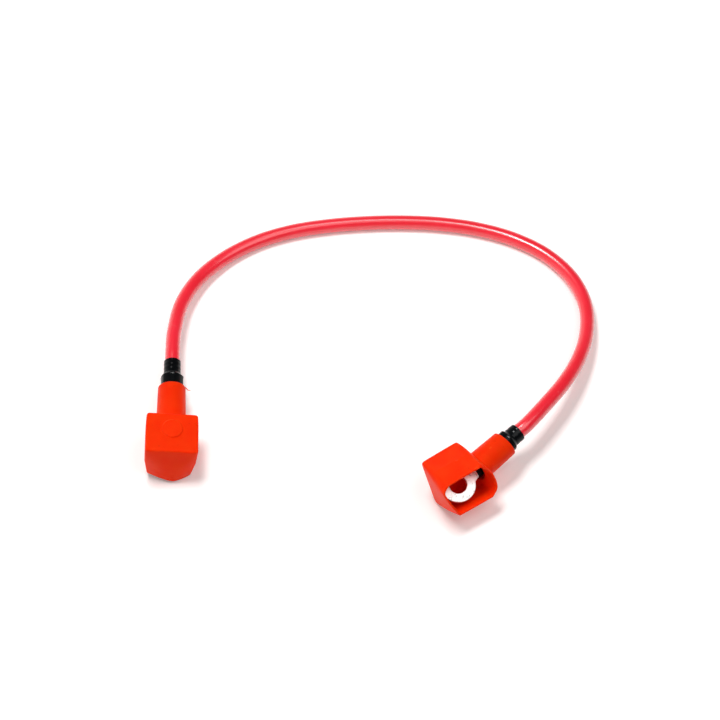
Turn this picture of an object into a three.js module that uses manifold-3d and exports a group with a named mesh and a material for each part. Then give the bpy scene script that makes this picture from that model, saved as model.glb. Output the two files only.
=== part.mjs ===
// A battery cable: one red cable with a ring terminal at each end, each joint sleeved in black
// heat shrink and covered by a soft orange-red boot. Millimetres, +Z up. The cable lies on a flat
// surface at z = 0. The origin is under the middle of the two fitted ends.
import * as THREE from 'three';
import { ConvexGeometry } from 'three/addons/geometries/ConvexGeometry.js';
import { mergeVertices } from 'three/addons/utils/BufferGeometryUtils.js';
import Module from 'manifold-3d';

// Cable
const conductorDiameter = 6.2;
const conductorClearance = 0.25;
const jacketBore = conductorDiameter + 2 * conductorClearance;
const jacketWall = 1.2;
const jacketDiameter = jacketBore + 2 * jacketWall;
const cableSides = 12;
const cableSteps = 44;
const straightPast = 8;

// Ring terminal. Lengths run from the centre of its hole back along the cable: the flat tongue,
// the barrel on the bare conductor, a cone, and the wider support barrel on the jacket.
const holeDiameter = 10.8;
const ringWidth = 5.65;
const ringDiameter = holeDiameter + 2 * ringWidth;
const tongueThickness = 2.8;
const tongueOffset = -0.6;
const neckWidth = 13;
const neckPastRing = 0.45;
const neckEnd = ringDiameter / 2 + neckPastRing;
const pressedLength = 4.5;
const barrelStart = neckEnd + pressedLength;
const barrelLength = 13.5;
const barrelEnd = barrelStart + barrelLength;
const coneLength = 3;
const supportStart = barrelEnd + coneLength;
const supportLength = 9.2;
const supportEnd = supportStart + supportLength;
const barrelClearance = 0.35;
const barrelWall = 1.55;
const barrelBore = conductorDiameter + 2 * barrelClearance;
const barrelDiameter = barrelBore + 2 * barrelWall;
const supportClearance = 0.3;
const supportWall = 1.35;
const supportBore = jacketDiameter + 2 * supportClearance;
const supportDiameter = supportBore + 2 * supportWall;
const conductorStop = 1;
const jacketStop = 0.5;
const crimpDepth = 0.3;
const crimpMargin = 2;

// Heat shrink
const shrinkClearance = 0.2;
const shrinkWall = 0.75;
const shrinkTailWall = 0.5;
const shrinkLeadIn = 0.4;
const shrinkShoulder = 0.6;
const shrinkStepLength = 1.2;

// Boot: a hood, open below, with a sleeve on one side that takes the cable. The closed roof is a
// rectangle. The open rim has a point in front and one behind, set off to opposite sides.
const wall = 1.8;
const roofWall = 2.1;
const roofLength = 26.3;
const roofWidth = 29.9;
const rimSetBack = 0.5;
const rimLength = 25.4;
const rimWidth = 25.6;
const rimPoint = 5.6;
const rimPointShift = 3.6;
const sideBulge = 0.8;
const hoodHeight = 27.7;
const rimDrop = 15.3;
const roofEdgeRadius = 1.6;
const cornerRadius = 2.6;
const sleeveClearance = 0.25;
const sleeveBore = supportDiameter + 2 * (shrinkClearance + shrinkWall + sleeveClearance);
const sleeveMouthWall = 0.9;
const sleeveRootWall = 1.6;
const discRadius = 6.2;
const discHeight = 0.5;
const discPlace = 10;

// The two ends. place is where the hole's station on the cable's axis lies in plan; its height
// follows from the boot, which stands on the surface. yaw and pitch aim the axis from the cable
// towards the ring. The soft boots sit a little differently: turned on the cable, with the
// sleeve crept back, and hoodBack is how far behind the hole the hood begins. The shrink's step
// lies past the terminal's end, and its tail is the length shrunk on the jacket behind the step.
const ends = {
  left: {
    place: [-99, -2.6], yaw: -88.55, pitch: -0.3,
    terminalRoll: -8.2, bootRoll: -8.2, hoodBack: 10.6, hoodSwing: 0, hoodNod: 0,
    sleeveLength: 26.8, stepPastTerminal: 4.1, tailLength: 11.1,
  },
  right: {
    place: [73.3, -34.2], yaw: -137.6, pitch: 5.87,
    terminalRoll: 160.5, bootRoll: 121, hoodBack: 14.3, hoodSwing: 8.3, hoodNod: -5.18,
    sleeveLength: 25.2, stepPastTerminal: 0.7, tailLength: 8.3,
  },
};

// Route of the free cable: x, y and how far its underside stands above the surface
const route = [
  [-100.4, 78.9, 10.4], [-96.8, 102.4, 6.8], [-87, 123.9, 3.4], [-71.1, 141.8, 1.1],
  [-51.2, 155, 0.2], [-29.1, 163.3, 0.1], [-5.7, 167.9, 0.1], [18.5, 170.3, 0.1],
  [43, 170.9, 0.1], [67.3, 169.5, 0.1], [90.9, 165.4, 0.1], [113.5, 157.7, 0.1],
  [134.2, 145.1, 0.1], [149.9, 126.9, 0.5], [157.6, 104.9, 2.1], [157.1, 81.5, 5.4],
  [150.8, 58.7, 10], [140.1, 37.2, 14.8], [126.2, 17.4, 18.1],
];

const roundSegments = 40;
const jawSegments = 6;
const cornerSteps = 4;
const roofEdgeAngles = [90, 45, 0];
// How far a cut runs out past what it cuts, and a joined form into its neighbour
const overlap = 0.5;
const weldDistance = 1e-4;
const wasm = await Module();
wasm.setup();
const radians = THREE.MathUtils.degToRad;

// Turns a closed geometry into a solid that can be joined and cut.
function solidOf(geometry) {
  const plain = geometry.clone();
  plain.deleteAttribute('normal');
  plain.deleteAttribute('uv');
  const merged = mergeVertices(plain, weldDistance);
  const corners = merged.index.array;
  const kept = [];
  for (let i = 0; i < corners.length; i += 3) {
    const [a, b, c] = [corners[i], corners[i + 1], corners[i + 2]];
    if (a !== b && b !== c && c !== a) kept.push(a, b, c);
  }
  return new wasm.Manifold(new wasm.Mesh({
    numProp: 3,
    vertProperties: new Float32Array(merged.attributes.position.array),
    triVerts: new Uint32Array(kept),
  }));
}

function geometryOf(solid) {
  const mesh = solid.getMesh();
  const geometry = new THREE.BufferGeometry();
  geometry.setAttribute('position', new THREE.BufferAttribute(mesh.vertProperties, 3));
  geometry.setIndex(new THREE.BufferAttribute(mesh.triVerts, 1));
  return geometry;
}

// A rod or cone along the cable's axis, from one distance behind the hole to another.
function rod(from, to, diameter, endDiameter = diameter, segments = roundSegments) {
  const geometry = new THREE.CylinderGeometry(endDiameter / 2, diameter / 2, to - from, segments);
  geometry.rotateZ(Math.PI / 2);
  geometry.translate(-(from + to) / 2, 0, 0);
  return solidOf(geometry);
}

// A barrel pressed between the six flats of a crimping die, with its ends left round.
function crimped(start, end, diameter) {
  const [from, to] = [start + crimpMargin, end - crimpMargin];
  const acrossFlats = diameter - 2 * crimpDepth;
  const acrossCorners = acrossFlats / Math.cos(Math.PI / jawSegments);
  const band = rod(from, to, acrossCorners + 2 * overlap);
  const jaws = rod(from - overlap, to + overlap, acrossCorners, acrossCorners, jawSegments);
  return rod(start, end, diameter).subtract(band.subtract(jaws));
}

// The flat tongue: a ring that runs into a neck.
function makeTongue() {
  const meet = Math.asin(neckWidth / ringDiameter);
  const outline = new THREE.Shape();
  outline.absarc(0, 0, ringDiameter / 2, Math.PI + meet, Math.PI - meet, false);
  outline.lineTo(-neckEnd, neckWidth / 2);
  outline.lineTo(-neckEnd, -neckWidth / 2);
  const tongue = new THREE.ExtrudeGeometry(outline, {
    depth: tongueThickness, bevelEnabled: false, curveSegments: roundSegments / 2,
  });
  return solidOf(tongue.translate(0, 0, tongueOffset - tongueThickness / 2));
}

// The pressed stretch, where the round barrel is squeezed down to the flat tongue.
function makePressing() {
  const points = [];
  for (const y of [-neckWidth / 2, neckWidth / 2]) {
    for (const z of [-tongueThickness / 2, tongueThickness / 2]) {
      points.push(new THREE.Vector3(overlap - neckEnd, y, tongueOffset + z));
    }
  }
  for (let i = 0; i < roundSegments; i += 1) {
    const angle = (i / roundSegments) * 2 * Math.PI;
    points.push(new THREE.Vector3(
      -barrelStart, (barrelDiameter / 2) * Math.cos(angle), (barrelDiameter / 2) * Math.sin(angle),
    ));
  }
  return solidOf(new ConvexGeometry(points));
}

function makeTerminal() {
  const hole = new THREE.CylinderGeometry(
    holeDiameter / 2, holeDiameter / 2, tongueThickness + 2 * overlap, roundSegments,
  );
  hole.rotateX(Math.PI / 2);
  hole.translate(0, 0, tongueOffset);
  const body = makeTongue()
    .add(makePressing())
    .add(crimped(barrelStart, barrelEnd, barrelDiameter))
    .add(rod(barrelEnd, supportStart, barrelDiameter, supportDiameter))
    .add(crimped(supportStart, supportEnd, supportDiameter))
    .subtract(rod(barrelStart + conductorStop - barrelClearance, barrelEnd, barrelBore))
    .subtract(rod(barrelEnd, supportStart, barrelBore, supportBore))
    .subtract(rod(supportStart, supportEnd + overlap, supportBore));
  return geometryOf(body.subtract(solidOf(hole)));
}

// The shrink tube follows the terminal's two barrels, steps down behind them and grips the jacket.
function makeShrink({ stepPastTerminal, tailLength }) {
  const overBarrel = barrelDiameter / 2 + shrinkClearance;
  const overSupport = supportDiameter / 2 + shrinkClearance;
  const overJacket = jacketDiameter / 2 + shrinkClearance;
  const tail = overJacket + shrinkTailWall;
  const start = barrelStart + shrinkLeadIn;
  const seat = supportEnd + shrinkClearance;
  const step = supportEnd + stepPastTerminal;
  const end = step + tailLength;
  const profile = [
    [overBarrel + shrinkWall, start],
    [overBarrel + shrinkWall, barrelEnd],
    [overSupport + shrinkWall, supportStart],
    [overSupport + shrinkWall, step - shrinkShoulder],
    [overSupport + shrinkWall - shrinkShoulder, step],
    [tail, step + shrinkStepLength],
    [tail, end],
    [overJacket, end],
    [overJacket, seat],
    [overSupport, seat],
    [overSupport, supportStart],
    [overBarrel, barrelEnd],
    [overBarrel, start],
    [overBarrel + shrinkWall, start],
  ].map(([radius, distance]) => new THREE.Vector2(radius, distance));
  const geometry = new THREE.LatheGeometry(profile, roundSegments);
  return geometryOf(solidOf(geometry.rotateZ(Math.PI / 2)));
}

// Plan of the hood at one height, drawn in by an inset, with round corners.
function hoodOutline({ start, length, width, point }, inset) {
  const [back, front, side] = [start + inset, start + length - inset, width / 2 - inset];
  const shift = rimPointShift * (point / rimPoint);
  const corners = [
    [back, side], [back - point, -shift], [back, -side],
    [front, -side], [front + point, shift], [front, side],
  ].map(([x, y]) => new THREE.Vector2(x, y));
  const shape = new THREE.Shape();
  corners.forEach((corner, i) => {
    const before = corners[(i + corners.length - 1) % corners.length];
    const after = corners[(i + 1) % corners.length];
    const enter = before.clone().sub(corner).setLength(cornerRadius).add(corner);
    const leave = after.clone().sub(corner).setLength(cornerRadius).add(corner);
    if (i === 0) shape.moveTo(enter.x, enter.y);
    else shape.lineTo(enter.x, enter.y);
    shape.quadraticCurveTo(corner.x, corner.y, leave.x, leave.y);
  });
  return shape.getPoints(cornerSteps);
}

// The hood's form between its roof and its rim, drawn in by an inset and run on past the rim.
function hoodForm(inset, roofInset, past) {
  const roof = { start: 0, length: roofLength, width: roofWidth, point: 0 };
  const rim = { start: -rimSetBack, length: rimLength, width: rimWidth, point: rimPoint };
  const waist = {
    start: -rimSetBack / 2,
    length: (roofLength + rimLength) / 2,
    width: (roofWidth + rimWidth) / 2 + 2 * sideBulge,
    point: rimPoint / 2,
  };
  const top = hoodHeight - rimDrop - roofInset;
  const roofEdge = roofEdgeAngles.map(radians).map((angle) => [
    top - roofEdgeRadius * (1 - Math.sin(angle)), roof, inset + roofEdgeRadius * (1 - Math.cos(angle)),
  ]);
  const levels = [
    ...roofEdge,
    [hoodHeight / 2 - rimDrop, waist, inset],
    [-rimDrop, rim, inset],
    [-rimDrop - past, rim, inset],
  ];
  return new ConvexGeometry(levels.flatMap(([z, plan, drawnIn]) => (
    hoodOutline(plan, drawnIn).map(({ x, y }) => new THREE.Vector3(x, y, z))
  )));
}

function makeBoot({ hoodBack, hoodSwing, hoodNod, sleeveLength }) {
  const turn = new THREE.Matrix4().makeRotationFromEuler(
    new THREE.Euler(0, radians(hoodNod), radians(hoodSwing), 'ZYX'),
  );
  turn.setPosition(-hoodBack, 0, 0);
  const disc = new THREE.CylinderGeometry(discRadius, discRadius, 2 * discHeight, roundSegments);
  disc.rotateX(Math.PI / 2);
  disc.translate(discPlace, 0, hoodHeight - rimDrop);

  const root = hoodBack - wall - 2 * overlap;
  const mouth = hoodBack + sleeveLength;
  const sleeve = rod(root, mouth, sleeveBore + 2 * sleeveRootWall, sleeveBore + 2 * sleeveMouthWall);
  const body = solidOf(hoodForm(0, 0, 0).applyMatrix4(turn))
    .add(sleeve)
    .subtract(solidOf(hoodForm(wall, roofWall, 2 * overlap).applyMatrix4(turn)))
    .subtract(rod(root - overlap, mouth + overlap, sleeveBore));
  return geometryOf(body.add(solidOf(disc.applyMatrix4(turn))));
}

function aimOf({ yaw, pitch }) {
  return new THREE.Euler(0, radians(pitch), radians(yaw), 'ZYX');
}

// How high the hole's station stands when the end's boot rests on the surface.
function standingHeight(boot, end) {
  const turned = boot.clone().rotateX(radians(end.bootRoll));
  turned.applyMatrix4(new THREE.Matrix4().makeRotationFromEuler(aimOf(end)));
  turned.computeBoundingBox();
  return -turned.boundingBox.min.z;
}

for (const end of Object.values(ends)) {
  end.boot = makeBoot(end);
  end.hole = new THREE.Vector3(...end.place, standingHeight(end.boot, end));
}

// One point on an end's axis, a distance behind its hole.
function axisPoint(end, distance) {
  return new THREE.Vector3(-distance, 0, 0).applyEuler(aimOf(end)).add(end.hole);
}

function circle(diameter, sides) {
  const points = [];
  for (let i = 0; i < sides; i += 1) {
    const angle = (i / sides) * 2 * Math.PI;
    points.push(new THREE.Vector2(Math.cos(angle), Math.sin(angle)).multiplyScalar(diameter / 2));
  }
  return new THREE.Shape(points);
}

// A round tube along the cable, between the same distance behind each hole. It runs straight
// through each end's sleeves and a little past them.
function alongCable(diameter, start) {
  const straight = (end) => {
    const step = supportEnd + end.stepPastTerminal;
    const tailEnd = step + end.tailLength;
    return [start, step, tailEnd, tailEnd + straightPast].map((distance) => axisPoint(end, distance));
  };
  const free = route.map(([x, y, lift]) => new THREE.Vector3(x, y, lift + jacketDiameter / 2));
  const points = [...straight(ends.left), ...free, ...straight(ends.right).reverse()];
  const path = new THREE.CatmullRomCurve3(points, false, 'catmullrom', 0.5);
  return solidOf(new THREE.ExtrudeGeometry(circle(diameter, cableSides), {
    steps: cableSteps, extrudePath: path, bevelEnabled: false,
  }));
}

function makeConductor() {
  return geometryOf(alongCable(conductorDiameter, barrelStart + conductorStop));
}

function makeJacket() {
  const bore = alongCable(jacketBore, barrelStart + conductorStop);
  return geometryOf(alongCable(jacketDiameter, supportStart + jacketStop).subtract(bore));
}

const jacketRed = new THREE.MeshStandardMaterial({ color: 0xf2203a, roughness: 0.42, metalness: 0 });
const copper = new THREE.MeshStandardMaterial({ color: 0xb8653a, roughness: 0.35, metalness: 1 });
const tin = new THREE.MeshStandardMaterial({ color: 0xd9d8d4, roughness: 0.28, metalness: 1 });
const shrinkBlack = new THREE.MeshStandardMaterial({ color: 0x0c0f12, roughness: 0.35, metalness: 0 });
const bootOrange = new THREE.MeshStandardMaterial({ color: 0xff3410, roughness: 0.55, metalness: 0 });

function named(name, geometry, material) {
  const mesh = new THREE.Mesh(geometry, material.clone());
  mesh.name = name;
  return mesh;
}

function makeEnd(side, end) {
  const group = new THREE.Group();
  group.position.copy(end.hole);
  group.rotation.copy(aimOf(end));
  const terminal = named(`ring_terminal_${side}`, makeTerminal(), tin);
  terminal.rotation.x = radians(end.terminalRoll);
  const boot = named(`terminal_boot_${side}`, end.boot, bootOrange);
  boot.rotation.x = radians(end.bootRoll);
  group.add(terminal, named(`heat_shrink_${side}`, makeShrink(end), shrinkBlack), boot);
  return group;
}

const batteryCable = new THREE.Group();
batteryCable.add(named('cable_jacket', makeJacket(), jacketRed));
batteryCable.add(named('copper_conductor', makeConductor(), copper));
for (const [side, end] of Object.entries(ends)) batteryCable.add(makeEnd(side, end));

export default batteryCable;
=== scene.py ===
import math

import bpy
import numpy as np
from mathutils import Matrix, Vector


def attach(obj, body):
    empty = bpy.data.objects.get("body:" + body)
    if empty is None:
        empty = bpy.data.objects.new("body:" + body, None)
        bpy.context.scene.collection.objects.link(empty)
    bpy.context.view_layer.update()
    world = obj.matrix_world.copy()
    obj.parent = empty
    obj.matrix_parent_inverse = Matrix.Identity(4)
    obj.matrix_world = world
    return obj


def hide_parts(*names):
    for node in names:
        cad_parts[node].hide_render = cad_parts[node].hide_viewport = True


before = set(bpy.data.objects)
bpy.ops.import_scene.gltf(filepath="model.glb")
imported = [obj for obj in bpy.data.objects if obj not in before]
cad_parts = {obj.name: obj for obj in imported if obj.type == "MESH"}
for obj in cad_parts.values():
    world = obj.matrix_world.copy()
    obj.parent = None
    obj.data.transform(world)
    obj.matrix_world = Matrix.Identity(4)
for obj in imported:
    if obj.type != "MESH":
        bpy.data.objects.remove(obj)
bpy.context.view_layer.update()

bpy.context.scene.view_settings.view_transform = "Standard"

# Lengths are in millimetres, as on the drawing of the part, and angles in degrees.
MM = 0.001

# Camera
LOOK_AT = (15.3, 66.9, 0)
CAMERA_DISTANCE = 1493.7
CAMERA_ELEVATION = 56.46
CAMERA_RANGE = (50, 20000)
LENS = 119.35
SENSOR = 36

# Cable
CONDUCTOR_DIAMETER = 6.2
JACKET_BORE = 6.7
JACKET_DIAMETER = 9.1
CONDUCTOR_START = 17
JACKET_START = 33
STRAIGHT_PAST = 8
BUNDLES = 6
BUNDLE_LAY = 70
CURVE_STEPS = 60
JACKET_RINGS = 700
JACKET_SIDES = 48
BUNDLE_RINGS = 420
BUNDLE_SIDES = 14

# Ring terminal, measured from the centre of its hole back along the cable
RING_DIAMETER = 22.1
HOLE_DIAMETER = 10.8
TONGUE_THICKNESS = 2.8
TONGUE_OFFSET = -0.6
NECK_WIDTH = 13
NECK_START = RING_DIAMETER / 4
NECK_BEND = 12.2
NECK_RISE = 2.1
NECK_CORNER = 0.4
BARREL_START = 16
BARREL_END = 29.5
SUPPORT_START = 32.5
SUPPORT_END = 41.7
BARREL_DIAMETER = 10
BARREL_BORE = 6.9
SUPPORT_DIAMETER = 12.4
SUPPORT_BORE = 9.7
BORE_SET_BACK = 0.6
CRIMP_MARGIN = 2
CRIMP_DEPTH = 0.3
RING_EDGE_RADIUS = 0.35
HOLE_EDGE_RADIUS = 0.3
CRIMP_EDGE_RADIUS = 0.3
BARREL_EDGE_RADIUS = 0.25
BORE_EDGE_RADIUS = 0.2
TERMINAL_LOW = (-43, -12, -8)
TERMINAL_HIGH = (12, 12, 8)
TERMINAL_STEP = 0.32

# Heat shrink
SHRINK_CLEARANCE = 0.2
SHRINK_WALL = 0.75
SHRINK_START = 12.7
SHRINK_TAIL_BORE = 9.5
SEAT_STEP = 0.05
SHRINK_RINGS = 200
SHRINK_SIDES = 120
SMOOTHED_RINGS = 7
MOUTH_EASE_LENGTH = 0.35
MOUTH_EASE_DEPTH = 0.3
RIDGE_ANGLE = 1.265  # in radians
FLAT_SHARE = 0.38
LIP_HEIGHT = 0.17
LIP_SET_BACK = 0.4
LIP_WIDTH = 0.5
RIPPLE_DEPTH = 0.05
RIPPLE_RATE = 2.1
TWIST_DEPTH = 0.04
TWIST_RATE = 0.4

# Boot, measured from the back of its hood towards the ring
WALL = 1.8
RIM_WALL = 1.2
RIM_WALL_HEIGHT = 8
ROOF_WALL = 2.1
ROOF_LENGTH = 26.3
ROOF_BOW = 0.6
RIM_FRONT = 24.9
BACK_BULGE = 0.6
FRONT_BULGE = 1
BACK_BOW = 2.1
FRONT_BOW = 0.7
HOOD_HEIGHT = 27.7
RIM_DROP = 15.3
TOP = HOOD_HEIGHT - RIM_DROP
ROOF_EDGE_RADIUS = 1.1
RIM_EDGE_RADIUS = 0.6
HOLLOW_EDGE_RADIUS = 0.4
CAVITY_RADIUS = 1
ROOF_CORNER_EASE = 1.6
RIM_CORNER_EASE = 0.4
RIDGE_EASE = 0.9
WAVE_DEPTH = 0.12
WAVES = ((0, 0.21, 1), (2, 0.17, 0), (1, 0.19, 2))  # axis, rate and start of each
SLEEVE_MOUTH_DIAMETER = 16.9
SLEEVE_ROOT_DIAMETER = 18.3
SLEEVE_BORE = 14.8
SLEEVE_OVERLAP = 1
SLEEVE_FILLET = 0.5
MOUTH_EDGE_RADIUS = 0.45
ROOT_EDGE_RADIUS = 0.2
DISC_RADIUS = 6.2
DISC_HEIGHT = 0.75
DISC_PLACE = 10
DISC_EDGE_RADIUS = 0.15
DISC_FILLET = 0.1
PIP_RADIUS = 0.8
PIP_HEIGHT = 0.35
PIP_EDGE_RADIUS = 0.1
WHISKER_RADIUS = 0.4
WHISKER_RINGS = 14
WHISKER_SIDES = 6
BOOT_MARGIN = 4
BOOT_LOW = (-21, -19)
BOOT_HIGH = (23, 21, 16)
BOOT_STEP = 0.45

# The two ends. A distance along an end's axis is measured back from its hole. A pair of widths
# is for the left and the right half of the hood, and a pair of ridges for its back and front.
ENDS = {
    "left": dict(
        hole=(-99, -2.6, 17.0135), yaw=-88.55, pitch=-0.3,
        terminal_roll=-8.2, boot_roll=-8.2, hood_back=10.6, hood_swing=0, hood_nod=0,
        sleeve=26.8, step=45.8, shrink_end=56.9,
        rim_back=(13.6, 13.4), rim_front=(13.6, 13.4), rim_points=(5, 6), rim_shifts=(2.7, 2.7),
        rim_skew=0, rim_set_back=0.5,
        mouth_slant=(0, 0), flare=(45.3, 46.9), tail=10.5,
        roof_lip=1.2, roof_back=(15.5, 15.4), roof_front=(16.15, 16.15), pip=None,
        whisker=((-37, 7.8, 2.6), (-36.7, 8.9, 2), (-35.9, 9.9, 1.4), (-35.6, 11.5, 2.2)),
    ),
    "right": dict(
        hole=(73.3, -34.2, 17.6495), yaw=-137.6, pitch=5.87,
        terminal_roll=160.5, boot_roll=121, hood_back=14.3, hood_swing=8.3, hood_nod=-5.18,
        sleeve=25.2, step=42.4, shrink_end=50.7,
        rim_back=(10.9, 14), rim_front=(10.9, 13), rim_points=(6.7, 5.2), rim_shifts=(5.8, 6.4),
        rim_skew=1, rim_set_back=-0.9,
        mouth_slant=(-0.06, -0.042), flare=(42.8, 44.1), tail=11.2,
        roof_lip=0.3, roof_back=(16.2, 14.85), roof_front=(16.15, 15), pip=(10.1, -2.9), whisker=None,
    ),
}

# Route of the free cable: x, y and how far its underside stands above the surface
ROUTE = [
    (-100.4, 78.9, 10.4), (-96.8, 102.4, 6.8), (-87, 123.9, 3.4), (-71.1, 141.8, 1.1),
    (-51.2, 155, 0.2), (-29.1, 163.3, 0.1), (-5.7, 167.9, 0.1), (18.5, 170.3, 0.1),
    (43, 170.9, 0.1), (67.3, 169.5, 0.1), (90.9, 165.4, 0.1), (113.5, 157.7, 0.1),
    (134.2, 145.1, 0.1), (149.9, 126.9, 0.5), (157.6, 104.9, 2.1), (157.1, 81.5, 5.4),
    (150.8, 58.7, 10), (140.1, 37.2, 14.8), (126.2, 17.4, 18.1),
]


# Camera


def make_camera():
    data = bpy.data.cameras.new("camera")
    data.lens = LENS
    data.sensor_width = SENSOR
    data.clip_start, data.clip_end = (distance * MM for distance in CAMERA_RANGE)
    camera = bpy.data.objects.new("camera", data)
    up = math.radians(CAMERA_ELEVATION)
    x, y, z = LOOK_AT
    camera.location = (
        x * MM,
        (y - CAMERA_DISTANCE * math.cos(up)) * MM,
        (z + CAMERA_DISTANCE * math.sin(up)) * MM,
    )
    camera.rotation_euler = (math.pi / 2 - up, 0, 0)
    bpy.context.scene.collection.objects.link(camera)
    bpy.context.scene.camera = camera


make_camera()


# Places


def turn(axis, degrees):
    """The 3 x 3 matrix of a turn about one axis of the frame."""
    c, s = math.cos(math.radians(degrees)), math.sin(math.radians(degrees))
    a, b = (axis + 1) % 3, (axis + 2) % 3
    matrix = np.eye(3)
    matrix[a, a], matrix[a, b], matrix[b, a], matrix[b, b] = c, -s, s, c
    return matrix


def aim(end):
    """The turn from an end's own frame, unrolled, to the row frame."""
    return turn(2, end["yaw"]) @ turn(1, end["pitch"])


def axis_point(end, distance):
    """One point on an end's axis, a distance behind its hole."""
    return np.array(end["hole"]) + aim(end) @ (-distance, 0, 0)


def placed(points, end, roll):
    """Points from an end's own frame, rolled about the cable's axis, in the row frame."""
    return points @ (aim(end) @ turn(0, roll)).T + end["hole"]


# Meshes


def piece(name, points, faces, material, nodes, sharp=None):
    """A mesh piece of the object, from points in millimetres in the row frame."""
    mesh = bpy.data.meshes.new(name)
    mesh.from_pydata((points * MM).tolist(), [], faces)
    mesh.materials.append(material)
    mesh.polygons.foreach_set("use_smooth", [True] * len(mesh.polygons))
    if sharp:
        mesh.set_sharp_from_angle(angle=math.radians(sharp))
    mesh.update()
    made = bpy.data.objects.new(name, mesh)
    bpy.context.scene.collection.objects.link(made)
    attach(made, "root")
    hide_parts(*nodes)
    return made


def grid_faces(rings, sides, closed):
    """Quads between rings of points, the last ring joined to the first if closed."""
    i = np.arange(rings if closed else rings - 1)[:, None]
    j = np.arange(sides)[None, :]
    following, beside = (i + 1) % rings, (j + 1) % sides
    return np.stack(
        [i * sides + j, i * sides + beside, following * sides + beside, following * sides + j],
        axis=-1,
    ).reshape(-1, 4)


def along(points, count):
    """Evenly spaced points on the smooth curve through these points."""
    p = np.vstack([2 * points[0] - points[1], points, 2 * points[-1] - points[-2]])
    t = np.linspace(0, 1, CURVE_STEPS, endpoint=False)[:, None]
    parts = [
        (2 * t**3 - 3 * t**2 + 1) * b + (t**3 - 2 * t**2 + t) * (c - a) / 2
        + (3 * t**2 - 2 * t**3) * c + (t**3 - t**2) * (d - b) / 2
        for a, b, c, d in zip(p, p[1:], p[2:], p[3:])
    ]
    line = np.vstack([*parts, points[-1:]])
    reach = np.concatenate([[0], np.cumsum(np.linalg.norm(np.diff(line, axis=0), axis=1))])
    even = np.linspace(0, reach[-1], count)
    return np.stack([np.interp(even, reach, line[:, k]) for k in range(3)], axis=1)


def cable_line(start, count):
    """The cable's centre line, from the same distance behind each hole."""
    ends = []
    for end in ENDS.values():
        distances = (start, end["step"], end["shrink_end"], end["shrink_end"] + STRAIGHT_PAST)
        ends.append([axis_point(end, distance) for distance in distances])
    left, right = ends
    free = [(x, y, lift + JACKET_DIAMETER / 2) for x, y, lift in ROUTE]
    return along(np.array([*left, *free, *reversed(right)]), count)


def carried_axes(line):
    """Two directions across the line at each of its points, carried along without twist."""
    forward = np.gradient(line, axis=0)
    forward /= np.linalg.norm(forward, axis=1)[:, None]
    across = [np.cross(forward[0], (0, 0, 1))]
    for direction in forward:
        carried = across[-1] - direction * (across[-1] @ direction)
        across.append(carried / np.linalg.norm(carried))
    across = np.array(across[1:])
    return across, np.cross(forward, across)


def ring_points(line, axes, radius, sides):
    """A ring of points round each point of a line."""
    angle = np.linspace(0, 2 * math.pi, sides, endpoint=False)[None, :, None]
    across, up = (a[:, None, :] for a in axes)
    return line[:, None, :] + radius * (across * np.cos(angle) + up * np.sin(angle))


# Soft moulded forms. A field says how far each point lies outside a form, in millimetres.


SETTLING_ROUNDS = 4


def round_join(a, b, radius):
    """Union of two fields, with a fillet."""
    u, v = np.maximum(radius - a, 0), np.maximum(radius - b, 0)
    return np.maximum(radius, np.minimum(a, b)) - np.hypot(u, v)


def round_meet(a, b, radius):
    """Intersection of two fields, with a rounded edge."""
    return -round_join(-a, -b, radius)


def ease_meet(a, b, width):
    """Intersection of two fields, eased over a shallow ridge."""
    near = np.maximum(width - np.abs(a - b), 0) / width
    return np.maximum(a, b) + near * near * width / 4


def surface(field, low, high, step):
    """Points and quads of the closed surface where a field is zero."""
    axes = [np.arange(a, b + step, step) for a, b in zip(low, high)]
    grid = np.stack(np.meshgrid(*axes, indexing="ij"), axis=-1)
    value = np.stack([field(layer.reshape(-1, 3)).reshape(layer.shape[:2]) for layer in grid])
    inside = value < 0
    cells = np.array(inside.shape) - 1
    count = sum(
        inside[i:i + cells[0], j:j + cells[1], k:k + cells[2]].astype(int)
        for i in (0, 1) for j in (0, 1) for k in (0, 1)
    )
    crossed = (count > 0) & (count < 8)
    number = np.full(crossed.shape, -1)
    number[crossed] = np.arange(crossed.sum())
    total, hits, quads = np.zeros((crossed.sum(), 3)), np.zeros(crossed.sum()), []
    for a in range(3):
        order = [a, (a + 1) % 3, (a + 2) % 3]
        values = np.transpose(value, order)[:, 1:-1, 1:-1]
        cell = np.transpose(number, order)
        i, j, k = np.nonzero((values[:-1] < 0) != (values[1:] < 0))
        share = values[i, j, k] / (values[i, j, k] - values[i + 1, j, k])
        spot = np.empty((len(i), 3))
        for axis, place in zip(order, (i + share, j + 1, k + 1)):
            spot[:, axis] = low[axis] + step * place
        around = ((j, k), (j + 1, k), (j + 1, k + 1), (j, k + 1))
        quad = np.stack([cell[i, row, column] for row, column in around], axis=1)
        backward = values[i, j, k] >= 0
        quad[backward] = quad[backward][:, ::-1]
        quads.append(quad)
        for corner in quad.T:
            np.add.at(total, corner, spot)
            np.add.at(hits, corner, 1)
    points = total / hits[:, None]
    for _ in range(SETTLING_ROUNDS):
        points -= offset(field, points, step)
    return points, np.vstack(quads)


def offset(field, points, step):
    """How far to move points to bring them onto a field's surface, at most a part of a step."""
    tiny = 0.02
    least_slope = 0.3
    furthest = 0.4 * step
    slope = np.stack(
        [(field(points + d) - field(points - d)) / (2 * tiny) for d in tiny * np.eye(3)], axis=1
    )
    move = (field(points) / np.maximum((slope**2).sum(axis=1), least_slope))[:, None] * slope
    length = np.linalg.norm(move, axis=1)[:, None]
    return move * np.minimum(1, furthest / np.maximum(length, 1e-9))


def smooth_step(x, start, end):
    """0 at the start and 1 at the end, with an even bend between them."""
    t = np.clip((x - start) / (end - start), 0, 1)
    return t * t * (3 - 2 * t)


# Boots


FACING = {"back": (-1, 0), "front": (1, 0), "left": (0, 1), "right": (0, -1)}


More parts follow.
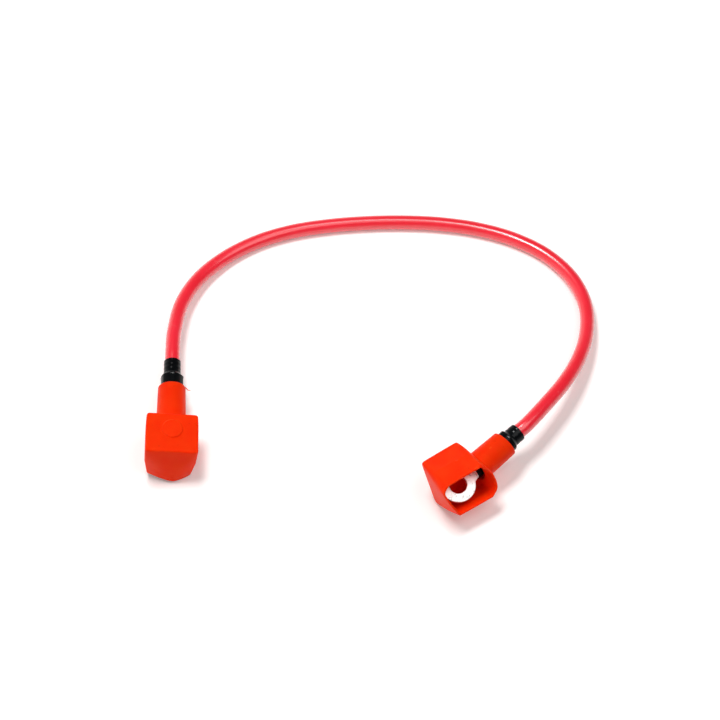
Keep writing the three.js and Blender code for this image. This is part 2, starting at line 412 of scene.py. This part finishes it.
def ridged(start, ridge, end, bow):
    """One wall of the hood in plan, bowed out on both sides of its ridge."""
    start, ridge, end = np.array(start), np.array(ridge), np.array(end)
    out = np.array((bow, 0))
    return np.array([start, (start + ridge) / 2 + out, ridge, (ridge + end) / 2 + out, end])


def hood_plan(ends, back_sides, front_sides, bows, points, shifts, skew):
    """The outline of the hood at one height, wall by wall, seen from its roof."""
    back, front = ends
    back_bow, front_bow, side_bow = bows
    (back_left, back_right), (front_left, front_right) = back_sides, front_sides
    corner = {
        "back left": (back, back_left), "back right": (back, -back_right),
        "front left": (front, front_left), "front right": (front - skew, -front_right),
    }
    back_ridge, front_ridge = (back - points[0], -shifts[0]), (front + points[1], shifts[1])
    middle = (back + front) / 2
    left, right = (back_left + front_left) / 2 + side_bow, (back_right + front_right) / 2 + side_bow
    return {
        "back": ridged(corner["back left"], back_ridge, corner["back right"], -back_bow),
        "front": ridged(corner["front right"], front_ridge, corner["front left"], front_bow),
        "left": np.array([corner["back left"], (middle, left), corner["front left"]]),
        "right": np.array([corner["back right"], (middle, -right), corner["front right"]]),
    }


def hood_levels(end):
    """Heights in the hood's frame and the outline at each, from the roof down to the rim."""
    roof = dict(
        ends=(-end["roof_lip"], ROOF_LENGTH), back_sides=end["roof_back"],
        front_sides=end["roof_front"], bows=(0, 0, ROOF_BOW), points=(0, 0), shifts=(0, 0), skew=0,
    )
    rim = dict(
        ends=(-end["rim_set_back"], RIM_FRONT), back_sides=end["rim_back"],
        front_sides=end["rim_front"], bows=(BACK_BOW, FRONT_BOW, 0),
        points=end["rim_points"], shifts=end["rim_shifts"], skew=end["rim_skew"],
    )
    # Half way down, the sides start from the roof's width at its front and bulge out.
    waist = {name: np.add(roof[name], rim[name]) / 2 for name in roof}
    waist["back_sides"] = np.add(end["roof_front"], end["rim_back"]) / 2 + BACK_BULGE
    waist["front_sides"] = np.add(end["roof_front"], end["rim_front"]) / 2 + FRONT_BULGE
    return [
        (TOP - ROOF_EDGE_RADIUS, hood_plan(**roof)),
        (HOOD_HEIGHT / 2 - RIM_DROP, hood_plan(**waist)),
        (-RIM_DROP, hood_plan(**rim)),
    ]


def wall_normals(levels, wall):
    """Directions that one of the hood's walls faces, from one side to the other."""
    facing = np.array(FACING[wall])
    kept = [facing.astype(float)]
    for _, plan in levels:
        for a, b in zip(plan[wall], plan[wall][1:]):
            x, y = b - a
            normal = np.array((y, -x)) / math.hypot(x, y)
            kept.append(normal if normal @ facing > 0 else -normal)
    kept.sort(key=lambda n: facing[0] * n[1] - facing[1] * n[0])
    return [n for n, following in zip(kept, [*kept[1:], None])
            if following is None or np.abs(n - following).max() > 1e-6]


def hood_walls(end):
    """A field for the hood's upright walls."""
    levels = hood_levels(end)
    heights = [z for z, _ in levels]
    plans = [np.vstack(list(plan.values())) for _, plan in levels]
    normals = {wall: wall_normals(levels, wall) for wall in FACING}

    def outside(p, n):
        reach = [(plan @ n).max() for plan in plans]
        bulged = np.interp(p[:, 2], heights[::-1], reach[::-1])
        straight = np.interp(p[:, 2], (heights[2], heights[0]), (reach[2], reach[0]))
        return p[:, :2] @ n - np.maximum(bulged, straight)

    def eased(p, wall):
        d = outside(p, normals[wall][0])
        for normal in normals[wall][1:]:
            d = ease_meet(d, outside(p, normal), RIDGE_EASE)
        return d

    def field(p):
        ends = np.maximum(eased(p, "front"), eased(p, "back"))
        sides = np.maximum(eased(p, "left"), eased(p, "right"))
        ease = np.interp(p[:, 2], (-RIM_DROP, TOP), (RIM_CORNER_EASE, ROOF_CORNER_EASE))
        return ease_meet(ends, sides, ease)

    return field


def boot_field(end):
    """The boot's form in its sleeve's frame."""
    to_hood = turn(2, end["hood_swing"]) @ turn(1, end["hood_nod"])
    root = end["hood_back"] - WALL - SLEEVE_OVERLAP
    mouth = end["hood_back"] + end["sleeve"]
    walls_field = hood_walls(end)

    def field(p):
        h = (p + (end["hood_back"], 0, 0)) @ to_hood
        wave = WAVE_DEPTH
        for axis, rate, start in WAVES:
            wave = wave * np.sin(h[:, axis] * rate + start)
        walls = walls_field(h) + wave
        hood = round_meet(walls, h[:, 2] - TOP, ROOF_EDGE_RADIUS)
        hood = round_meet(hood, -RIM_DROP - h[:, 2], RIM_EDGE_RADIUS)

        radius, back = np.hypot(p[:, 1], p[:, 2]), -p[:, 0]
        outer = np.interp(back, (root, mouth), (SLEEVE_ROOT_DIAMETER / 2, SLEEVE_MOUTH_DIAMETER / 2))
        past_mouth = back - mouth - p[:, 1:] @ end["mouth_slant"]
        sleeve = round_meet(radius - outer, past_mouth, MOUTH_EDGE_RADIUS)
        sleeve = round_meet(sleeve, root - back, ROOT_EDGE_RADIUS)
        body = round_join(hood, sleeve, SLEEVE_FILLET)

        spread = np.hypot(h[:, 0] - DISC_PLACE, h[:, 1]) - DISC_RADIUS
        disc = round_meet(spread, np.abs(h[:, 2] - TOP) - DISC_HEIGHT, DISC_EDGE_RADIUS)
        body = round_join(body, disc, DISC_FILLET)
        if end["pip"]:
            x, z = end["pip"]
            spot = np.hypot(h[:, 0] - x, h[:, 2] - z) - PIP_RADIUS
            pip = round_meet(spot, np.abs(walls) - PIP_HEIGHT, PIP_EDGE_RADIUS)
            body = np.minimum(body, np.maximum(pip, -h[:, 1]))

        wall = np.interp(h[:, 2], (-RIM_DROP, -RIM_DROP + RIM_WALL_HEIGHT), (RIM_WALL, WALL))
        cavity = round_meet(walls + wall, h[:, 2] - TOP + ROOF_WALL, CAVITY_RADIUS)
        bore = np.maximum(radius - SLEEVE_BORE / 2, root - SLEEVE_OVERLAP - back)
        hollow = round_join(cavity, bore, SLEEVE_FILLET)
        return round_meet(body, -hollow, HOLLOW_EDGE_RADIUS)

    return field


def thread(points):
    """Points and quads of a thin closed thread that tapers to its end."""
    line = along(np.array(points), WHISKER_RINGS)
    radius = np.linspace(WHISKER_RADIUS, WHISKER_RADIUS / 3, WHISKER_RINGS)[:, None, None]
    rings = ring_points(line, carried_axes(line), radius, WHISKER_SIDES)
    skin = grid_faces(WHISKER_RINGS, WHISKER_SIDES, False)[:, ::-1]
    cap = np.array([(0, 1, 2, 3), (0, 3, 4, 5)])
    tip = cap[:, ::-1] + (WHISKER_RINGS - 1) * WHISKER_SIDES
    return rings.reshape(-1, 3), np.vstack([skin, cap, tip])


def make_boot(side, end, material):
    back = end["hood_back"] + end["sleeve"] + BOOT_MARGIN
    points, quads = surface(boot_field(end), (-back, *BOOT_LOW), BOOT_HIGH, BOOT_STEP)
    if end["whisker"]:
        whisker, more = thread(end["whisker"])
        points, quads = np.vstack([points, whisker]), np.vstack([quads, more + len(points)])
    return piece(
        f"boot_{side}", placed(points, end, end["boot_roll"]), quads.tolist(),
        material, [f"terminal_boot_{side}"],
    )


# Ring terminals


def neck_and_barrel(back, y, z):
    """A rounded box that grows from the tongue's section into the barrel's tube."""
    half = TONGUE_THICKNESS / 2
    grown = np.clip((back - NECK_BEND) / NECK_RISE, 0, 1)
    barrel = np.interp(back, (BARREL_END, SUPPORT_START), (BARREL_DIAMETER / 2, SUPPORT_DIAMETER / 2))
    neck = np.interp(back, (NECK_START, NECK_BEND), (NECK_WIDTH / 2, BARREL_DIAMETER / 2))
    half_y = neck + grown * (barrel - neck)
    half_z = half + grown * (barrel - half)
    corner = NECK_CORNER + grown * (barrel - NECK_CORNER)
    middle = TONGUE_OFFSET * (1 - grown)
    dy, dz = np.abs(y) - half_y + corner, np.abs(z - middle) - half_z + corner
    body = np.hypot(np.maximum(dy, 0), np.maximum(dz, 0)) + np.minimum(np.maximum(dy, dz), 0) - corner
    body = round_meet(body, back - SUPPORT_END, BARREL_EDGE_RADIUS)
    return np.maximum(body, -back)


def terminal_field(p):
    """The terminal's form in its own frame."""
    x, y, z = p[:, 0], p[:, 1], p[:, 2]
    back = -x
    out = np.hypot(x, y)
    thickness = np.abs(z - TONGUE_OFFSET) - TONGUE_THICKNESS / 2
    ring = round_meet(out - RING_DIAMETER / 2, thickness, RING_EDGE_RADIUS)
    body = neck_and_barrel(back, y, z)

    sector = math.pi / 3
    flat = np.hypot(y, z) * np.cos((np.arctan2(z, y) + sector / 2) % sector - sector / 2)
    for start, end, diameter in (
        (BARREL_START, BARREL_END, BARREL_DIAMETER), (SUPPORT_START, SUPPORT_END, SUPPORT_DIAMETER)
    ):
        middle, reach = (start + end) / 2, (end - start) / 2 - CRIMP_MARGIN
        band = np.abs(back - middle) - reach
        jaws = flat - (diameter / 2 - CRIMP_DEPTH)
        body = round_meet(body, -round_meet(band, -jaws, CRIMP_EDGE_RADIUS), CRIMP_EDGE_RADIUS)

    bore = np.interp(back, (BARREL_END, SUPPORT_START), (BARREL_BORE / 2, SUPPORT_BORE / 2))
    bore = np.maximum(np.hypot(y, z) - bore, BARREL_START + BORE_SET_BACK - back)
    joined = round_meet(np.minimum(ring, body), HOLE_DIAMETER / 2 - out, HOLE_EDGE_RADIUS)
    return round_meet(joined, -bore, BORE_EDGE_RADIUS)


def make_terminal(side, end, material):
    points, quads = surface(terminal_field, TERMINAL_LOW, TERMINAL_HIGH, TERMINAL_STEP)
    return piece(
        f"terminal_{side}", placed(points, end, end["terminal_roll"]), quads.tolist(),
        material, [f"ring_terminal_{side}"],
    )


# Heat shrink


def shrink_profile(end):
    """Distances behind the hole and radii there, first along the tube's skin, then its bore."""
    over_barrel = BARREL_DIAMETER / 2 + SHRINK_CLEARANCE
    over_support = SUPPORT_DIAMETER / 2 + SHRINK_CLEARANCE
    last = end["shrink_end"]
    places = np.linspace(SHRINK_START, last, SHRINK_RINGS)
    skin = np.interp(
        places,
        (SHRINK_START, BARREL_END, SUPPORT_START, *end["flare"]),
        (over_barrel, over_barrel, over_support, over_support, end["tail"] / 2 - SHRINK_WALL),
    ) + SHRINK_WALL
    kept = SMOOTHED_RINGS // 2
    skin[kept:-kept] = np.convolve(skin, np.ones(SMOOTHED_RINGS) / SMOOTHED_RINGS, mode="valid")
    to_mouth = np.minimum(places - SHRINK_START, last - places)
    ease = np.minimum(to_mouth / MOUTH_EASE_LENGTH, 1)
    skin -= MOUTH_EASE_DEPTH * (1 - np.sqrt(1 - (1 - ease) ** 2))

    seat = SUPPORT_END + SHRINK_CLEARANCE
    bore_places = np.array([last, seat + SEAT_STEP, seat, SUPPORT_START, BARREL_END, SHRINK_START])
    bore = np.array([SHRINK_TAIL_BORE / 2] * 2 + [over_support] * 2 + [over_barrel] * 2)
    return places, skin, bore_places, bore


def make_shrink(side, end, material):
    """The shrunk tube: one closed ring of profile points, turned about the axis."""
    skin_places, skin, bore_places, bore = shrink_profile(end)
    flare_start, flare_end = end["flare"]
    angle = np.linspace(0, 2 * math.pi, SHRINK_SIDES, endpoint=False)[None, :]
    places = skin_places[:, None]
    sector = math.pi / 3
    from_flat = (angle - RIDGE_ANGLE) % sector - sector / 2
    flats = 1 - math.cos(sector / 2) / np.cos(from_flat)
    crimped = smooth_step(places, flare_end, flare_start) * FLAT_SHARE
    tail = smooth_step(places, flare_start, flare_end)
    lip = LIP_HEIGHT * np.exp(-(((places - flare_start + LIP_SET_BACK) / LIP_WIDTH) ** 2))
    ripple = RIPPLE_DEPTH * np.sin(places * RIPPLE_RATE + 2 * np.sin(angle))
    ripple = ripple + TWIST_DEPTH * np.sin(3 * angle + places * TWIST_RATE)
    skin = skin[:, None] * (1 - crimped * flats) + (1 - tail) * lip + tail * ripple

    all_round = np.ones((1, SHRINK_SIDES))
    radius = np.concatenate([skin, bore[:, None] * all_round])
    back = np.concatenate([skin_places, bore_places])[:, None] * all_round
    points = np.stack([-back, radius * np.cos(angle), radius * np.sin(angle)], axis=-1)
    faces = grid_faces(len(back), SHRINK_SIDES, True).tolist()
    return piece(
        f"shrink_{side}", placed(points.reshape(-1, 3), end, 0), faces,
        material, [f"heat_shrink_{side}"], sharp=40,
    )


# Cable


def make_jacket(material):
    """The jacket as one closed tube, and its centre line."""
    line = cable_line(JACKET_START, JACKET_RINGS)
    axes = carried_axes(line)
    outer = ring_points(line, axes, JACKET_DIAMETER / 2, JACKET_SIDES)
    inner = ring_points(line, axes, JACKET_BORE / 2, JACKET_SIDES)
    points = np.concatenate([outer, inner[::-1]]).reshape(-1, 3)
    faces = grid_faces(2 * JACKET_RINGS, JACKET_SIDES, True)[:, ::-1].tolist()
    made = piece("jacket", points, faces, material, ["cable_jacket"], sharp=60)
    return made, line


def make_conductor(material):
    """A middle bundle of strands and six more, laid round it."""
    line = cable_line(CONDUCTOR_START, BUNDLE_RINGS)
    across, up = carried_axes(line)
    reach = np.concatenate([[0], np.cumsum(np.linalg.norm(np.diff(line, axis=0), axis=1))])
    radius = CONDUCTOR_DIAMETER / 6
    skin = grid_faces(BUNDLE_RINGS, BUNDLE_SIDES, False)[:, ::-1]
    first = np.arange(BUNDLE_SIDES)
    last = (first + (BUNDLE_RINGS - 1) * BUNDLE_SIDES)[::-1]
    points, faces = [], []
    for bundle in range(BUNDLES + 1):
        angle = (2 * math.pi * (reach / BUNDLE_LAY + bundle / BUNDLES))[:, None]
        away = 0 if bundle == BUNDLES else 2 * radius
        centre = line + away * (across * np.cos(angle) + up * np.sin(angle))
        points.append(ring_points(centre, (across, up), radius, BUNDLE_SIDES).reshape(-1, 3))
        base = bundle * BUNDLE_RINGS * BUNDLE_SIDES
        faces += [(base + face).tolist() for face in [*skin, first, last]]
    return piece(
        "conductor", np.vstack(points), faces,
        material, ["copper_conductor"], sharp=50,
    )


# Materials


def new_material(name):
    """A material with its node tree, its shader and a texture coordinate in the row frame."""
    material = bpy.data.materials.new(name)
    material.use_nodes = True
    tree = material.node_tree
    shader = tree.nodes["Principled BSDF"]
    place = tree.nodes.new("ShaderNodeTexCoord").outputs["Object"]
    return material, tree, shader, place


def math_node(tree, operation, *values):
    """The result of a sum on sockets or plain numbers."""
    node = tree.nodes.new("ShaderNodeMath")
    node.operation = operation
    for socket, value in zip(node.inputs, values):
        if isinstance(value, (int, float)):
            socket.default_value = value
        else:
            tree.links.new(value, socket)
    return node.outputs["Value"]


def scaled(tree, value, share):
    return math_node(tree, "MULTIPLY", value, share)


def noise(tree, place, scale, detail=3, stretch=None):
    """A cloudy pattern, from 0 to 1. A larger scale makes it finer."""
    if stretch:
        mapping = tree.nodes.new("ShaderNodeMapping")
        mapping.inputs["Scale"].default_value = stretch
        tree.links.new(place, mapping.inputs["Vector"])
        place = mapping.outputs["Vector"]
    node = tree.nodes.new("ShaderNodeTexNoise")
    node.inputs["Scale"].default_value = scale
    node.inputs["Detail"].default_value = detail
    tree.links.new(place, node.inputs["Vector"])
    return node.outputs["Fac"]


def ramp(tree, value, *stops):
    """Colours or greys at places along a value."""
    node = tree.nodes.new("ShaderNodeValToRGB")
    band = node.color_ramp
    while len(band.elements) < len(stops):
        band.elements.new(0.5)
    for element, (place, colour) in zip(band.elements, stops):
        element.position = place
        element.color = (*colour, 1) if isinstance(colour, tuple) else (colour, colour, colour, 1)
    tree.links.new(value, node.inputs["Fac"])
    return node.outputs["Color"]


def bump(tree, shader, *layers):
    """Bumps one on another, each a height, its strength and its depth in millimetres."""
    before = None
    for height, strength, depth in layers:
        node = tree.nodes.new("ShaderNodeBump")
        node.inputs["Strength"].default_value = strength
        node.inputs["Distance"].default_value = depth * MM
        tree.links.new(height, node.inputs["Height"])
        if before:
            tree.links.new(before, node.inputs["Normal"])
        before = node.outputs["Normal"]
    tree.links.new(before, shader.inputs["Normal"])


def mixed(tree, share, first, second):
    """A colour between two, by a share."""
    node = tree.nodes.new("ShaderNodeMix")
    node.data_type = "RGBA"
    for socket, value in zip((node.inputs[0], node.inputs[6], node.inputs[7]), (share, first, second)):
        if isinstance(value, tuple):
            socket.default_value = (*value, 1)
        else:
            tree.links.new(value, socket)
    return node.outputs[2]


def edges(tree, start, end):
    """How much an outer edge shows, from 0 to 1."""
    pointed = tree.nodes.new("ShaderNodeNewGeometry").outputs["Pointiness"]
    return ramp(tree, pointed, (start, 0), (end, 1))


def specks(tree, place, scale, start, end):
    """Small scattered marks, from 0 to 1."""
    return ramp(tree, noise(tree, place, scale, 4), (start, 0), (end, 1))


def jacket_material():
    material, tree, shader, place = new_material("jacket_red")
    cloudy = noise(tree, place, 60)
    colour = ramp(tree, cloudy, (0.3, (0.90, 0.004, 0.021)), (0.7, (0.95, 0.009, 0.033)))
    scuffs = specks(tree, place, 320, 0.64, 0.74)
    colour = mixed(tree, scaled(tree, scuffs, 0.35), colour, (0.90, 0.06, 0.08))
    tree.links.new(colour, shader.inputs["Base Color"])
    fine = noise(tree, place, 1500, 2)
    smooth = ramp(tree, fine, (0.3, 0.3), (0.7, 0.4))
    tree.links.new(mixed(tree, scuffs, smooth, (0.5, 0.5, 0.5)), shader.inputs["Roughness"])
    bump(tree, shader, (fine, 0.12, 0.05), (noise(tree, place, 220, 2), 0.2, 0.1))
    shader.inputs["Coat Weight"].default_value = 1
    shader.inputs["Coat Roughness"].default_value = 0.21
    shader.inputs["Coat IOR"].default_value = 1.6
    return material


def boot_material():
    material, tree, shader, place = new_material("boot_orange")
    cloudy = noise(tree, place, 90)
    colour = ramp(tree, cloudy, (0.3, (0.98, 0.025, 0.001)), (0.7, (1.0, 0.035, 0.002)))
    # Lighter orange along the outer edges: a painted highlight on the rounded edges.
    edge_highlight = scaled(tree, edges(tree, 0.52, 0.62), 0.3)
    colour = mixed(tree, edge_highlight, colour, (1.0, 0.11, 0.02))
    spots = scaled(tree, specks(tree, place, 500, 0.66, 0.72), 0.25)
    colour = mixed(tree, spots, colour, (0.62, 0.018, 0.002))
    tree.links.new(colour, shader.inputs["Base Color"])
    grain = noise(tree, place, 2600, 2)
    tree.links.new(ramp(tree, grain, (0.3, 0.40), (0.7, 0.52)), shader.inputs["Roughness"])
    bump(tree, shader, (grain, 0.2, 0.05), (noise(tree, place, 160, 2), 0.25, 0.3))
    shader.inputs["Specular IOR Level"].default_value = 0.12
    shader.inputs["Specular Tint"].default_value = (1, 0.4, 0.15, 1)
    shader.inputs["Subsurface Weight"].default_value = 0.45
    shader.inputs["Subsurface Radius"].default_value = (1, 0.06, 0.02)
    shader.inputs["Subsurface Scale"].default_value = 0.004
    return material


def shrink_material():
    material, tree, shader, place = new_material("shrink_black")
    cloudy = noise(tree, place, 200)
    colour = ramp(tree, cloudy, (0.3, (0.001, 0.0015, 0.002)), (0.8, (0.003, 0.004, 0.005)))
    # Lighter bluish grey along the outer edges: a painted highlight on the crimp ridges, the step and
    # the ends.
    colour = mixed(tree, scaled(tree, edges(tree, 0.56, 0.68), 0.4), colour, (0.03, 0.035, 0.04))
    tree.links.new(colour, shader.inputs["Base Color"])
    fine = noise(tree, place, 900, 3)
    tree.links.new(ramp(tree, fine, (0.3, 0.17), (0.75, 0.24)), shader.inputs["Roughness"])
    bump(tree, shader, (fine, 0.05, 0.03), (cloudy, 0.06, 0.1))
    shader.inputs["Specular IOR Level"].default_value = 0.14
    return material


def tin_material():
    material, tree, shader, place = new_material("tinned_copper")
    cloudy = noise(tree, place, 260)
    colour = ramp(tree, cloudy, (0.35, (0.84, 0.83, 0.81)), (0.65, (0.94, 0.93, 0.91)))
    scratches = noise(tree, place, 1000, 3, stretch=(1, 0.35, 1))
    where = specks(tree, place, 300, 0.5, 0.6)
    lines = math_node(tree, "MULTIPLY", where, ramp(tree, scratches, (0.45, 0), (0.5, 1), (0.55, 0)))
    colour = mixed(tree, scaled(tree, lines, 0.8), colour, (0.07, 0.06, 0.055))
    colour = mixed(tree, scaled(tree, edges(tree, 0.56, 0.66), 0.3), colour, (0.86, 0.60, 0.42))
    tree.links.new(colour, shader.inputs["Base Color"])
    shader.inputs["Metallic"].default_value = 1
    tree.links.new(ramp(tree, cloudy, (0.35, 0.36), (0.7, 0.46)), shader.inputs["Roughness"])
    bump(tree, shader, (lines, 0.1, 0.02), (cloudy, 0.04, 0.1))
    return material


def copper_material():
    material, tree, shader, place = new_material("copper")
    strands = noise(tree, place, 2500, 2)
    colour = ramp(tree, strands, (0.3, (0.55, 0.20, 0.09)), (0.7, (0.90, 0.42, 0.24)))
    tarnish = scaled(tree, specks(tree, place, 180, 0.52, 0.68), 0.5)
    colour = mixed(tree, tarnish, colour, (0.30, 0.12, 0.06))
    tree.links.new(colour, shader.inputs["Base Color"])
    shader.inputs["Metallic"].default_value = 1
    tree.links.new(ramp(tree, strands, (0.3, 0.25), (0.7, 0.4)), shader.inputs["Roughness"])
    bump(tree, shader, (strands, 0.5, 0.1))
    return material


# Stage, with its lengths in metres


FLOOR_REACH = 4
FLOOR_GLOW = 0.16
LIT_SPOT = (0.02, 0.06, 0)
LAMP_DISTANCE = 1.3
LAMPS = {
    "overhead": dict(toward=(-0.19, 0.13, 0.97), size=(0.5, 0.3), power=11.3),
    "right": dict(toward=(0.4, -0.14, 0.9), size=(0.9, 0.8), power=4.6),
}
WORLD_LEAN = 0.35
WORLD_GLOW = ((0, (0.9, 0.86, 0.84)), (0.35, (0.3, 0.29, 0.28)), (0.8, (0.08, 0.077, 0.074)))


def make_floor():
    """A white floor that takes the object's shadow."""
    mesh = bpy.data.meshes.new("floor")
    corners = [(x * FLOOR_REACH, y * FLOOR_REACH, 0) for x, y in ((-1, -1), (1, -1), (1, 1), (-1, 1))]
    mesh.from_pydata(corners, [], [(0, 1, 2, 3)])
    floor = bpy.data.objects.new("floor", mesh)
    bpy.context.scene.collection.objects.link(floor)
    material, tree, shader, place = new_material("floor")
    colour = ramp(tree, noise(tree, place, 3), (0.3, (0.97, 0.955, 0.94)), (0.7, (0.98, 0.965, 0.95)))
    tree.links.new(colour, shader.inputs["Base Color"])
    shader.inputs["Roughness"].default_value = 0.8
    shader.inputs["Specular IOR Level"].default_value = 0
    shader.inputs["Emission Color"].default_value = (1, 1, 1, 1)
    tree.links.new(scaled(tree, seen_ray(tree), FLOOR_GLOW), shader.inputs["Emission Strength"])
    mesh.materials.append(material)


def seen_ray(tree):
    """1 for a ray from the camera, straight or by way of metal or glass, and 0 for the rest."""
    path = tree.nodes.new("ShaderNodeLightPath").outputs
    mirrored = math_node(tree, "MAXIMUM", path["Is Glossy Ray"], path["Is Transmission Ray"])
    return math_node(tree, "MAXIMUM", path["Is Camera Ray"], mirrored)


def make_world():
    """A soft glow, stronger towards the horizon and the left."""
    world = bpy.data.worlds.new("studio")
    bpy.context.scene.world = world
    world.use_nodes = True
    tree = world.node_tree
    toward = tree.nodes.new("ShaderNodeTexCoord").outputs["Generated"]
    height = tree.nodes.new("ShaderNodeSeparateXYZ")
    tree.links.new(toward, height.inputs["Vector"])
    leaning = math_node(tree, "ADD", height.outputs["Z"], scaled(tree, height.outputs["X"], WORLD_LEAN))
    glow = ramp(tree, leaning, *WORLD_GLOW)
    tree.links.new(glow, tree.nodes["Background"].inputs["Color"])


def make_lamp(name, toward, size, power):
    """A soft box in one direction from the middle of the cable, facing it."""
    data = bpy.data.lights.new(name, "AREA")
    data.shape = "RECTANGLE"
    data.size, data.size_y = size
    data.energy = power
    lamp = bpy.data.objects.new(name, data)
    direction = Vector(toward).normalized()
    lamp.location = direction * LAMP_DISTANCE + Vector(LIT_SPOT)
    lamp.rotation_euler = direction.to_track_quat("Z", "Y").to_euler()
    bpy.context.scene.collection.objects.link(lamp)


make_floor()
make_world()
for name, lamp in LAMPS.items():
    make_lamp(name, **lamp)

jacket, jacket_line = make_jacket(jacket_material())
conductor = make_conductor(copper_material())
tin, black, orange = tin_material(), shrink_material(), boot_material()
fittings = {
    side: [make_terminal(side, end, tin), make_shrink(side, end, black), make_boot(side, end, orange)]
    for side, end in ENDS.items()
}
